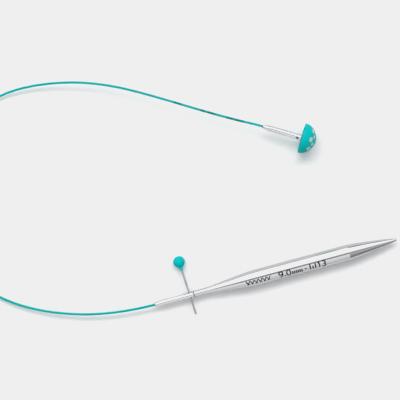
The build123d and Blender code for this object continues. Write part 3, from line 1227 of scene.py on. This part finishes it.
def screw_piece(name, seat, sizes, roll):
    """A screw: a shank with the cross hole right through it, and a threaded stud in front."""
    shank = sizes.screw_diameter / 2
    rear = sizes.screw_start
    chamfer = 0.1 * MM
    band = hole_band()
    face = SLEEVE_LENGTH
    root = sizes.thread_minor / 2
    grid = thread_grid(sizes, face, SLEEVE_SIDES)
    outline = np.concatenate([
        [(rear, 0), (rear, shank - chamfer), (rear + chamfer, shank)],
        np.column_stack([band, np.full(len(band), shank)]),
        rounded([(band[-1], shank), (face, shank), (face, root)], [0.06 * MM], steps=4)[1:],
    ])
    surface = Surface().add_lathe(outline, SLEEVE_SIDES, roll, hole_skip(outline))
    hole = KEY_HOLE_RADIUS
    for turn in (0, math.pi):
        depths = [(hole, lambda y: 0.5 * np.sqrt(shank**2 - y**2)), (hole, lambda y: 0 * y)]
        add_mouth(surface, shank, hole, roll + turn, depths)
    surface.add_grid(turned_about_x(grid, roll), closed=True)
    end_ring = turned_about_x(grid[-1:], roll)
    end_middle = end_ring * np.array([1.0, 0.0, 0.0])
    surface.add_grid(np.concatenate([end_ring, end_middle]), closed=True)
    return surface.piece(name, seat)


class KNITTING_OT_connectors(bpy.types.Operator):
    """Builds the two connectors, each a cross-drilled sleeve and its threaded screw"""

    bl_idname = "knitting.connectors"
    bl_label = "Connectors"

    def execute(self, context):
        sizes = context.scene.needle_settings.connector
        rolls = {
            "needle": NEEDLE_SIDE.roll_of(np.array(JOINTS["key_slide"]["axis"])),
            "cap": CAP_SIDE.roll_of(np.array(KEY_HOLE["axis"])),
        }
        for side, seat in (("needle", NEEDLE_SIDE), ("cap", CAP_SIDE)):
            roll = rolls[side]
            polished = drawn_steel(
                f"{side}_sleeve_steel",
                sizes.colour,
                roughness=0.12,
                grain=3e-7,
                streak_length=25 * MM,
                streak_width=0.3 * MM,
                # Painted shade at both ends of the sleeve
                shaded_seams=[0.0, SLEEVE_LENGTH],
                # Painted shade on the cross hole's wall
                roll=roll,
            )
            turned = turned_steel(
                f"{side}_screw_steel",
                sizes.screw_colour,
                roughness=0.28,
                groove=2e-6,
                pitch=0.09 * MM,
                # Painted shade on the cross hole's wall
                roll=roll,
            )
            sleeve = sleeve_piece(f"{side}_sleeve", seat, sizes, roll)
            sleeve.data.materials.append(polished)
            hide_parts(f"{side}_connector_sleeve")
            screw = screw_piece(f"{side}_screw", seat, sizes, roll)
            screw.data.materials.append(turned)
            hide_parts(f"{side}_connector_screw")
            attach(sleeve, f"{side}_connector")
            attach(screw, f"{side}_connector")
        return {"FINISHED"}


class KNITTING_OT_bushes(bpy.types.Operator):
    """Turns the brass bushes that the tip and the cap hold"""

    bl_idname = "knitting.bushes"
    bl_label = "Threaded bushes"

    def execute(self, context):
        sizes = context.scene.needle_settings.connector
        brass = turned_steel(
            "turned_brass", sizes.brass_colour, roughness=0.26, groove=2e-6, pitch=0.12 * MM
        )
        bore = sizes.thread_major / 2 + 0.05 * MM
        kinds = (("tip", TIP_SEAT, 2.66 * MM, 8.0 * MM), ("cap", CAP_SEAT, 3.4 * MM, 6.0 * MM))
        for side, seat, diameter, length in kinds:
            start, end = 0.2 * MM, 0.2 * MM + length
            corners = [
                (start + length / 2, bore),
                (start, bore),
                (start, diameter / 2),
                (end, diameter / 2),
                (end, bore),
                (start + length / 2, bore),
            ]
            outline = rounded(corners, [0.12 * MM, 0.08 * MM, 0.08 * MM, 0.12 * MM], steps=4)
            bush = Surface().add_lathe(outline, 64).piece(f"{side}_bush", seat)
            bush.data.materials.append(brass)
            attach(bush, f"{side}_thread")
            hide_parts(f"{side}_thread_bush")
        return {"FINISHED"}


# ---------------------------------------------------------------- key


class KNITTING_OT_key(bpy.types.Operator):
    """Makes the tightening key: its steel wire and its moulded ball with a collar"""

    bl_idname = "knitting.key"
    bl_label = "Tightening key"

    def execute(self, context):
        sizes = context.scene.needle_settings.key
        wire_radius = sizes.wire_diameter / 2
        wire_end = sizes.ball_reach - 2.0 * MM
        corners = [(-sizes.tail, 0), (-sizes.tail, wire_radius), (wire_end, wire_radius), (wire_end, 0)]
        outline = rounded(corners, [0.2 * MM, 0.05 * MM], steps=6)
        wire = Surface().add_lathe(outline, 48).piece("key_wire", KEY_SEAT)
        wire.data.materials.append(
            drawn_steel(
                "key_wire_steel",
                sizes.wire_colour,
                roughness=0.3,
                grain=4e-7,
                streak_length=12 * MM,
                streak_width=0.2 * MM,
            )
        )
        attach(wire, "key")
        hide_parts("key_pin")

        ball = Surface().add_lathe(self.ball_outline(sizes, wire_radius, wire_end), 96)
        head = ball.piece("key_head", KEY_SEAT)
        head.data.materials.append(
            moulded_plastic("ball_plastic", sizes.colour, roughness=0.36, texture=3e-6)
        )
        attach(head, "key")
        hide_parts("key_ball")
        return {"FINISHED"}

    def ball_outline(self, sizes, wire_radius, wire_end):
        """The ball and its collar as one outline, from the socket's end out to the ball's far pole.

        The ball is (reach - R cos t, R sin t). Its radius and the collar's are joined by a power
        mean, (ball^k + collar^k)^(1/k), which fills the corner between them. The far pole has the
        small flat where the moulding was cut from its runner.
        """
        radius = sizes.ball_diameter / 2
        collar = sizes.collar_diameter / 2
        collar_end = sizes.ball_reach - radius - sizes.collar_length
        socket = wire_radius + 0.005 * MM
        inside = np.array([(wire_end + 0.02 * MM, 0), (wire_end + 0.02 * MM, socket)])
        corners = [(wire_end - 0.5 * MM, socket), (collar_end, socket), (collar_end, collar)]
        corners.append((sizes.ball_reach - radius - 0.3 * MM, collar))
        skirt = rounded(corners, [0.05 * MM, 0.25 * MM], steps=6)
        power = 9.0
        angle = np.linspace(0, math.pi, 73)
        across = radius * np.sin(angle)
        joined = np.where(angle < math.pi / 2, (across**power + collar**power) ** (1 / power), across)
        gate = 0.45 * MM
        x = sizes.ball_reach - radius * np.cos(angle)
        x = np.minimum(x, sizes.ball_reach + math.sqrt(radius**2 - gate**2))
        joined[-1] = 0.0
        return np.concatenate([inside, skirt, np.stack([x, joined], axis=1)])


# ---------------------------------------------------------------- end cap


class KNITTING_OT_cap(bpy.types.Operator):
    """Moulds the domed end cap with its printed dots"""

    bl_idname = "knitting.cap"
    bl_label = "End cap"

    def execute(self, context):
        sizes = context.scene.needle_settings.cap
        dome = Surface().add_lathe(self.outline(sizes), 160).piece("dome_cap", CAP_SEAT)
        plastic = moulded_plastic(
            "cap_plastic",
            sizes.colour,
            roughness=0.4,
            texture=3e-6,
            marks=printed_dots,
            ink=shade(sizes.ink, 1.0),
        )
        dome.data.materials.append(plastic)
        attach(dome, "cap")
        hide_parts("end_cap")
        return {"FINISHED"}

    def outline(self, sizes):
        """The cap from the bottom of its bush's seat, round the back and the rim, to the crown.

        The dome is (height sin^(2/p) t, radius cos^(2/p) t), and the back has a shallow ring sunk
        between the middle boss and the rim.
        """
        seat = 1.72 * MM
        seat_end = 6.2 * MM
        sunk = 0.35 * MM
        boss = 2.7 * MM
        rim_inside = CAP_RADIUS - 1.5 * MM
        back = rounded(
            [
                (seat_end, 0),
                (seat_end, seat),
                (0, seat),
                (0, boss),
                (sunk, boss + 0.1 * MM),
                (sunk, rim_inside - 0.1 * MM),
                (0, rim_inside),
                (0, CAP_RADIUS),
                (sizes.rim * 1.2, CAP_RADIUS),
            ],
            [0, 0.06 * MM, 0.1 * MM, 0.08 * MM, 0.1 * MM, 0.12 * MM, sizes.rim],
            steps=6,
        )[:-2]
        angle = np.linspace(0, math.pi / 2, 60)
        share = 2 / sizes.dome_power
        along = sizes.rim + (sizes.height - sizes.rim) * np.sin(angle) ** share
        across = CAP_RADIUS * np.clip(np.cos(angle), 0, 1) ** share
        across[-1] = 0.0
        return np.concatenate([back, np.stack([along, across], axis=1)[1:]])


# ---------------------------------------------------------------- panel and registration


class KNITTING_PT_panel(bpy.types.Panel):
    """Lists the pieces to build"""

    bl_idname = "KNITTING_PT_panel"
    bl_label = "Circular knitting needle"
    bl_space_type = "VIEW_3D"
    bl_region_type = "UI"
    bl_category = "Needle"

    def draw(self, context):
        for operator in OPERATORS:
            self.layout.operator(operator.bl_idname)


SETTINGS = (
    StageSettings,
    TipSettings,
    ConnectorSettings,
    CordSettings,
    KeySettings,
    CapSettings,
    NeedleSettings,
)
OPERATORS = (
    KNITTING_OT_stage,
    KNITTING_OT_cord,
    KNITTING_OT_tip,
    KNITTING_OT_marks,
    KNITTING_OT_connectors,
    KNITTING_OT_bushes,
    KNITTING_OT_key,
    KNITTING_OT_cap,
)


def register():
    for item in (*SETTINGS, *OPERATORS, KNITTING_PT_panel):
        bpy.utils.register_class(item)
    bpy.types.Scene.needle_settings = bpy.props.PointerProperty(type=NeedleSettings)


def unregister():
    del bpy.types.Scene.needle_settings
    for item in reversed((*SETTINGS, *OPERATORS, KNITTING_PT_panel)):
        bpy.utils.unregister_class(item)


def main():
    register()
    bpy.ops.knitting.stage()
    bpy.ops.knitting.cord()
    bpy.ops.knitting.tip()
    bpy.ops.knitting.marks()
    bpy.ops.knitting.connectors()
    bpy.ops.knitting.bushes()
    bpy.ops.knitting.key()
    bpy.ops.knitting.cap()


if __name__ == "__main__":
    main()
